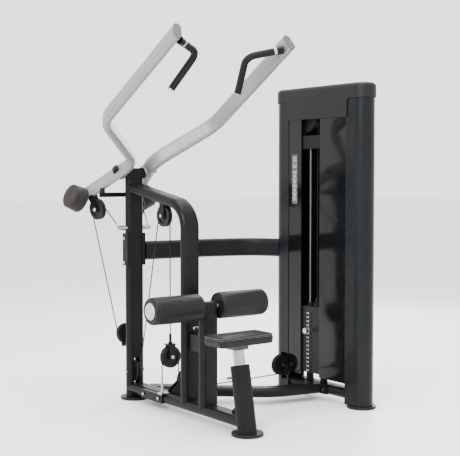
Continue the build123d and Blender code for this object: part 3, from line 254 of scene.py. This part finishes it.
# ---------- mesh helpers ----------
def new_object(name, verts, faces, mat):
    me = bpy.data.meshes.new(name)
    me.from_pydata([tuple(v) for v in verts], [], faces)
    me.validate()
    me.update()
    ob = bpy.data.objects.new(name, me)
    bpy.context.collection.objects.link(ob)
    me.materials.append(mat)
    for poly in me.polygons:
        poly.use_smooth = True
    return ob


def ring_mesh(name, rings, mat):
    """rings: a list of equal-length closed point loops, skinned in order and closed at both ends."""
    count = len(rings[0])
    verts = [p for ring in rings for p in ring]
    faces = []
    for r in range(len(rings) - 1):
        for i in range(count):
            j = (i + 1) % count
            faces.append((r * count + i, r * count + j, (r + 1) * count + j, (r + 1) * count + i))
    faces.append(tuple(reversed(range(count))))
    base = (len(rings) - 1) * count
    faces.append(tuple(base + i for i in range(count)))
    ob = new_object(name, verts, faces, mat)
    bm = bmesh.new()
    bm.from_mesh(ob.data)
    bmesh.ops.recalc_face_normals(bm, faces=bm.faces)
    bm.to_mesh(ob.data)
    bm.free()
    return ob


def frame_of(way):
    """Two directions square to a way and to each other."""
    way = way.normalized()
    side = Vector((0, 0, 1)) if abs(way.z) < 0.9 else Vector((1, 0, 0))
    u = way.cross(side).normalized()
    return u, way.cross(u).normalized()


def turned(name, origin, axis, profile, mat, sides=64):
    """A solid of revolution: profile is (distance along the axis, radius)."""
    u, v = frame_of(axis)
    axis = axis.normalized()
    turns = [2 * math.pi * i / sides for i in range(sides)]
    spokes = [u * math.cos(a) + v * math.sin(a) for a in turns]
    rings = [[origin + axis * along + spoke * radius for spoke in spokes] for along, radius in profile]
    return ring_mesh(name, rings, mat)


def stitches(name, path, normal_of, mat, pitch=0.0065, length=0.0044, radius=0.0007):
    """Short raised threads laid along a path of points."""
    sides = 6
    thread_shape = ((-0.5, 0.25), (-0.32, 0.9), (0.0, 1.15), (0.32, 0.9), (0.5, 0.25))
    verts, faces = [], []
    total, marks = 0.0, [0.0]
    for a, b in zip(path, path[1:]):
        total += (b - a).length
        marks.append(total)
    count = int(total / pitch)
    seg = 0
    for k in range(count):
        s = (k + 0.5) * total / count
        while seg < len(marks) - 2 and marks[seg + 1] < s:
            seg += 1
        a, b = path[seg], path[seg + 1]
        way = (b - a).normalized()
        mid = a + way * (s - marks[seg])
        up = normal_of(mid)
        side = way.cross(up).normalized()
        start = len(verts)
        for t, r in thread_shape:
            c = mid + way * (t * length)
            for q in range(sides):
                ang = 2 * math.pi * q / sides
                verts.append(c + (side * math.cos(ang) + up * math.sin(ang)) * (radius * r))
        for row in range(len(thread_shape) - 1):
            low = start + row * sides
            high = low + sides
            for q in range(sides):
                w = (q + 1) % sides
                faces.append((low + q, low + w, high + w, high + q))
    return new_object(name, verts, faces, mat)


# ---------- cables that change length, copied as they stand ---
def cable_run(name, node):
    """A copy of a cable's own mesh in the cable material, baked in place, with the model's part hidden."""
    src = nodes[node]
    ob = bpy.data.objects.new(name, src.data.copy())
    bpy.context.collection.objects.link(ob)
    ob.matrix_world = src.matrix_world.copy()
    ob.data.materials.clear()
    ob.data.materials.append(M["cable"])
    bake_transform(ob)
    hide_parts(node)


cable_run("arm_cable_right", "right_arm_cable")
cable_run("arm_cable_left", "left_arm_cable")
cable_run("cable_round_yoke", "yoke_cable")
cable_run("cable_under_yoke", "slot_cable")
cable_run("cable_above_block", "block_cable")
cable_run("cable_round_block", "loop_cable")
cable_run("cable_to_stack", "stack_cable")

# ---------- rollers ----------
lo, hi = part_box("rollers")
lo, hi = Vector(lo), Vector(hi)
roller_mid = (lo + hi) / 2
roller_r = (hi.z - lo.z) / 2
x_in = 0.053
x_out = hi.x
roller_sides = 96
cover_tight = 0.0012


def away_from_axis(q):
    return Vector((0, q.y - roller_mid.y, q.z - roller_mid.z)).normalized()


def roller(name, sign):
    """A stitched cover over one roller, with a seam by each end and one along its back."""
    length = x_out - x_in
    profile = []
    edge = 0.011
    steps = 10
    shoulder = roller_r - cover_tight - edge
    profile.append((0.0005, 0.0105))
    profile.append((0.0005, 0.030))
    profile.append((0.0003, roller_r - 0.020))
    for k in range(steps + 1):
        a = math.pi / 2 * k / steps
        profile.append((edge * (1 - math.cos(a)) + 0.0001, shoulder + edge * math.sin(a)))
    for k in range(1, 40):
        t = k / 40
        bulge = 0.0012 * (1 - (2 * t - 1) ** 4)
        seam = 0.0
        for s in (0.035, 0.965):
            seam += 0.0011 * math.exp(-((t - s) * length / 0.0016) ** 2)
        profile.append((edge + (length - 2 * edge) * t, roller_r - cover_tight + bulge - seam))
    for k in range(steps, -1, -1):
        a = math.pi / 2 * k / steps
        profile.append((length - edge * (1 - math.cos(a)) - 0.0001, shoulder + edge * math.sin(a)))
    profile.append((length - 0.0003, roller_r - 0.020))
    profile.append((length - 0.0015, 0.043))
    profile.append((length - 0.0015, 0.0105))
    origin = Vector((sign * x_in, roller_mid.y, roller_mid.z))
    ob = turned(name, origin, Vector((sign, 0, 0)), profile, M["leather"], roller_sides)
    for v in ob.data.vertices:
        d = Vector((0, v.co.y - roller_mid.y, v.co.z - roller_mid.z))
        r = d.length
        if r > 0.03:
            ang = math.atan2(d.z, d.y)
            ripple = 0.0005 * math.sin(7 * ang + 31 * v.co.x) + 0.0004 * math.sin(13 * ang - 47 * v.co.x)
            from_seam = math.atan2(math.sin(ang + 2.2), math.cos(ang + 2.2))
            back = math.exp(-(from_seam / 0.035) ** 2)
            k = 1 + (min(0.0, ripple) - 0.0018 * back) / r
            v.co.y = roller_mid.y + d.y * k
            v.co.z = roller_mid.z + d.z * k
    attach(ob, "roller_pair")
    for s in (0.036, 0.964):
        x = sign * (x_in + edge + (length - 2 * edge) * s)
        thread_r = roller_r * 0.999 - cover_tight
        turns = [2 * math.pi * i / roller_sides for i in range(roller_sides + 1)]
        for off in (-0.0035, 0.0035):
            middle = Vector((x + off, roller_mid.y, roller_mid.z))
            line = [middle + Vector((0, math.cos(a), math.sin(a))) * thread_r for a in turns]
            label = "_thread_%d_%d" % (int(s * 100), int(off * 10000) + 50)
            st = stitches(name + label, line, away_from_axis, M["dark_thread"])
            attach(st, "roller_pair")
    return ob


right_roller = roller("roller_cover_right", 1)
roller("roller_cover_left", -1)
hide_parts("rollers")

# ---------- seat pad ----------
lo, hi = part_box("seat_pad")
lo, hi = Vector(lo), Vector(hi)
half = Vector(((hi.x - lo.x) / 2, (hi.y - lo.y) / 2, 0))
mid = (lo + hi) / 2


def outline(inset, z, pinch=0.0):
    """The pad's rounded outline at one height, drawn in by an inset and hollowed a little between corners."""
    pts = []
    n = 14
    hx, hy = half.x - inset, half.y - inset
    rad = max(0.004, 0.026 - inset)
    cx0, cy0 = hx - rad, hy - rad
    corners = [(cx0, cy0, 0), (-cx0, cy0, 90), (-cx0, -cy0, 180), (cx0, -cy0, 270)]
    for c in range(4):
        cx, cy, a0 = corners[c]
        for i in range(n + 1):
            a = math.radians(a0 + 90 * i / n)
            pts.append((cx + rad * math.cos(a), cy + rad * math.sin(a)))
        nx, ny, _ = corners[(c + 1) % 4]
        a1 = math.radians(a0 + 90)
        ax, ay = cx + rad * math.cos(a1), cy + rad * math.sin(a1)
        bx, by = nx + rad * math.cos(a1), ny + rad * math.sin(a1)
        for i in range(1, 24):
            t = i / 24
            pull = pinch * math.sin(math.pi * t)
            x, y = ax + (bx - ax) * t, ay + (by - ay) * t
            if abs(bx - ax) > abs(by - ay):
                y -= math.copysign(pull, y)
            else:
                x -= math.copysign(pull, x)
            pts.append((x, y))
    return [Vector((mid.x + x, mid.y + y, z)) for x, y in pts]


thick = hi.z - lo.z
pinch = 0.0012
side_low = lo.z + 0.0085
crown = hi.z - 0.0150
rings = [
    outline(0.030, lo.z + 0.0004),
    outline(0.010, lo.z + 0.0004),
    outline(0.0035, lo.z + 0.0035),
    outline(0.0018, side_low, pinch=0.0014),
]
for k in range(1, 9):
    t = k / 9
    bulge = 0.0022 * math.sin(math.pi * t)
    rings.append(outline(0.0026 - bulge, side_low + (thick - 0.0265) * t, pinch))
rings.append(outline(0.0042, hi.z - 0.0172, pinch))
rings.append(outline(0.0040, crown, pinch))
for k in range(1, 9):
    a = math.pi / 2 * k / 8
    rings.append(outline(0.0015 + 0.016 * (1 - math.cos(a)), crown + 0.0085 * math.sin(a), pinch=0.0008))
top_steps = (
    (0.024, 0.0100), (0.032, 0.0120), (0.042, 0.0134), (0.054, 0.0144), (0.064, 0.0148), (0.070, 0.0149),
)
for inset, rise in top_steps:
    rings.append(outline(inset, crown + rise))
pad = ring_mesh("seat_cushion", rings, M["leather"])
for v in pad.data.vertices:
    if v.co.z > lo.z + 0.5 * thick:
        x = (v.co.x - mid.x) / half.x
        y = (v.co.y - mid.y) / half.y
        near_ends = max(0.0, abs(y) - 0.6)
        near_sides = max(0.0, abs(x) - 0.7)
        pucker = 0.0014 * math.sin(26 * x + 3 * y) * near_ends + 0.0010 * math.sin(19 * y + 4) * near_sides
        v.co.z += min(0.0, pucker)
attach(pad, "seat_slide")
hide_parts("seat_pad")


def out_of_pad(q):
    if abs(q.x - mid.x) > half.x - 0.02:
        return Vector((q.x - mid.x, q.y - mid.y, 0)).normalized()
    return Vector((0, q.y - mid.y, 0)).normalized()


for tag, z_line, inset in (("upper", hi.z - 0.0195, 0.0030), ("lower", hi.z - 0.0128, 0.0018)):
    ring = outline(inset, z_line, pinch)
    ring.append(ring[0])
    st = stitches("seat_thread_" + tag, ring, out_of_pad, M["thread"])
    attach(st, "seat_slide")

# ---------- bright collars, bolt caps and prints ----------
def mirrored_vec(v, sign):
    return Vector((v.x * sign, v.y, v.z))


# profiles are (distance along the axis, radius)
collar_profile = [
    (0, 0.0135), (0, 0.0193), (0.001, 0.0197), (0.0115, 0.0197), (0.013, 0.0192), (0.0131, 0.0172),
]
end_profile = [
    (0, 0.0172), (0.0006, 0.0184), (0.0085, 0.0184), (0.0102, 0.0172), (0.0108, 0.012), (0.0109, 0.002),
]
bolt_profile = [
    (0, 0.0104), (0.0045, 0.0104), (0.0066, 0.0092), (0.0078, 0.0066), (0.0082, 0.0030), (0.0083, 0.0005),
]

# the right handle's middle line: where it leaves the arm, its bend and its end
root = Vector((0.2716, -0.857, 1.777))
corner = Vector((0.142, -0.7855, 1.7456))
tip = Vector((0.192, -0.656, 1.593))
root_way = (corner - root).normalized()
end_way = (tip - corner).normalized()
for side_name, sign, body in (("right", 1, "right_arm"), ("left", -1, "left_arm")):
    a = mirrored_vec(root + root_way * 0.0015, sign)
    root_axis = mirrored_vec(root_way, sign)
    collar = turned("handle_collar_" + side_name, a, root_axis, collar_profile, M["zinc"], 48)
    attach(collar, body)
    b = mirrored_vec(tip + end_way * 0.0002, sign)
    end_axis = mirrored_vec(end_way, sign)
    ring = turned("handle_end_" + side_name, b, end_axis, end_profile, M["zinc"], 48)
    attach(ring, body)


bolt_reach = 0.0196
bolts = (
    ("block_bolt_cap", (0, -0.345, 0.272), (0, 1, 0), "block"),
    ("yoke_bolt_cap", (0, 0.0859, 0.338), (0, 0.9831, -0.1833), "yoke"),
    ("right_tail_bolt_cap", (0.128, 0.160, 1.008), (0.9797, -0.1769, -0.0939), "right_arm"),
    ("left_tail_bolt_cap", (-0.128, 0.160, 1.008), (0.9797, 0.1769, 0.0939), "left_arm"),
)
for name, centre, axis, body in bolts:
    for tag, side in (("a", 1), ("b", -1)):
        way = Vector(axis).normalized() * side
        ob = turned(name + "_" + tag, Vector(centre) + way * bolt_reach, way, bolt_profile, M["zinc"], 40)
        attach(ob, body)


def slab_piece(name, lo_c, hi_c, mat, bevel=0.0004):
    """A thin slab between two corners, with rounded edges."""
    bm = bmesh.new()
    bmesh.ops.create_cube(bm, size=1)
    for v in bm.verts:
        v.co = Vector([(lo_c[i] + hi_c[i]) / 2 + v.co[i] * (hi_c[i] - lo_c[i]) for i in range(3)])
    bmesh.ops.bevel(bm, geom=bm.edges[:], offset=bevel, segments=2, profile=0.6, affect="EDGES")
    me = bpy.data.meshes.new(name)
    bm.to_mesh(me)
    bm.free()
    ob = bpy.data.objects.new(name, me)
    bpy.context.collection.objects.link(ob)
    me.materials.append(mat)
    return ob


face_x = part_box("tower_panels")[0][0]
plate_near = (face_x - 0.0012, -0.449, 1.035)
plate_far = (face_x + 0.0004, -0.405, 1.300)
print_front = face_x - 0.0018
print_back = face_x - 0.0010
plate_mid_y = -0.427
plate = slab_piece("instruction_plate", plate_near, plate_far, M["plate_print"])
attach(plate, "frame")
marks = []
rows = [
    1.285, 1.277, 1.269, 1.261, 1.245, 1.238, 1.231, 1.210, 1.204, 1.198,
    1.170, 1.163, 1.140, 1.133, 1.126, 1.100, 1.093, 1.070, 1.063, 1.056,
]
for k, z in enumerate(rows):
    width = 0.034 if k % 3 else 0.026
    m = slab_piece("plate_line_%02d" % k, (print_front, plate_mid_y - width / 2, z - 0.0016),
                   (print_back, plate_mid_y + width / 2, z + 0.0016), M["print"], 0.0002)
    marks.append(m)
for k, z in enumerate((1.185, 1.152, 1.112, 1.082)):
    m = slab_piece("plate_picture_%d" % k, (print_front, plate_mid_y - 0.009, z - 0.0055),
                   (print_back, plate_mid_y + 0.009, z + 0.0055), M["print"], 0.0004)
    marks.append(m)
for m in marks:
    m.parent = plate
    m.matrix_parent_inverse = Matrix.Identity(4)

stack_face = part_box("waiting_plates")[0][0]
stack_bottom = 0.132
plate_pitch = 0.022
plate_count = 15
waiting_count = 10
stack_mid_y = -0.555
for k in range(plate_count):
    z = stack_bottom + plate_pitch * (k + 0.5)
    body = "frame" if k < waiting_count else "stack"
    for part, (dy, w) in enumerate(((0.026, 0.007), (0.036, 0.005))):
        y = stack_mid_y + dy
        m = slab_piece("plate_mark_%02d_%d" % (k, part), (stack_face - 0.0006, y - w / 2, z - 0.0042),
                       (stack_face + 0.0002, y + w / 2, z + 0.0042), M["print"], 0.0002)
        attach(m, body)

# ---------- camera ----------
cam_data = bpy.data.cameras.new("photo_view")
cam_data.lens = 79.12174
cam_data.sensor_width = 36
cam = bpy.data.objects.new("photo_view", cam_data)
bpy.context.collection.objects.link(cam)
pitch = math.radians(2.888)
heading = math.radians(36.9)
level = math.cos(pitch)
look = Vector((math.sin(heading) * level, math.cos(heading) * level, -math.sin(pitch)))
cam.location = (-2.809, -4.589, 1.18)
cam.rotation_euler = look.to_track_quat("-Z", "Y").to_euler()
bpy.context.scene.camera = cam

# ---------- floor and light ----------
floor_mat = surface("studio_floor", (0.86, 0.86, 0.86), 0.55, 0.0, 0.01, 1.0,
                    [("noise", 90, 0.0002, 0.05)])
reach = 40
floor_corners = [(-reach, -reach, 0), (reach, -reach, 0), (reach, reach, 0), (-reach, reach, 0)]
floor = new_object("studio_floor", floor_corners, [(0, 1, 2, 3)], floor_mat)

world = bpy.data.worlds.new("studio")
bpy.context.scene.world = world
world.use_nodes = True
bg = world.node_tree.nodes["Background"]
bg.inputs["Color"].default_value = (1, 1, 1, 1)
bg.inputs["Strength"].default_value = 2.3


def softbox(name, place, target, wide, tall, power):
    data = bpy.data.lights.new(name, "AREA")
    data.shape = "RECTANGLE"
    data.size = wide
    data.size_y = tall
    data.energy = power
    ob = bpy.data.objects.new(name, data)
    bpy.context.collection.objects.link(ob)
    ob.location = place
    ob.rotation_euler = (Vector(target) - Vector(place)).to_track_quat("-Z", "Y").to_euler()


softbox("key", (-3.4, -2.6, 3.4), (0.2, -0.3, 0.8), 2.2, 2.2, 260)
softbox("top", (0.5, -0.8, 4.6), (0.4, -0.4, 0.5), 3.0, 3.0, 200)
softbox("edge", (3.6, 1.6, 2.6), (0.4, -0.3, 0.9), 1.2, 2.6, 140)
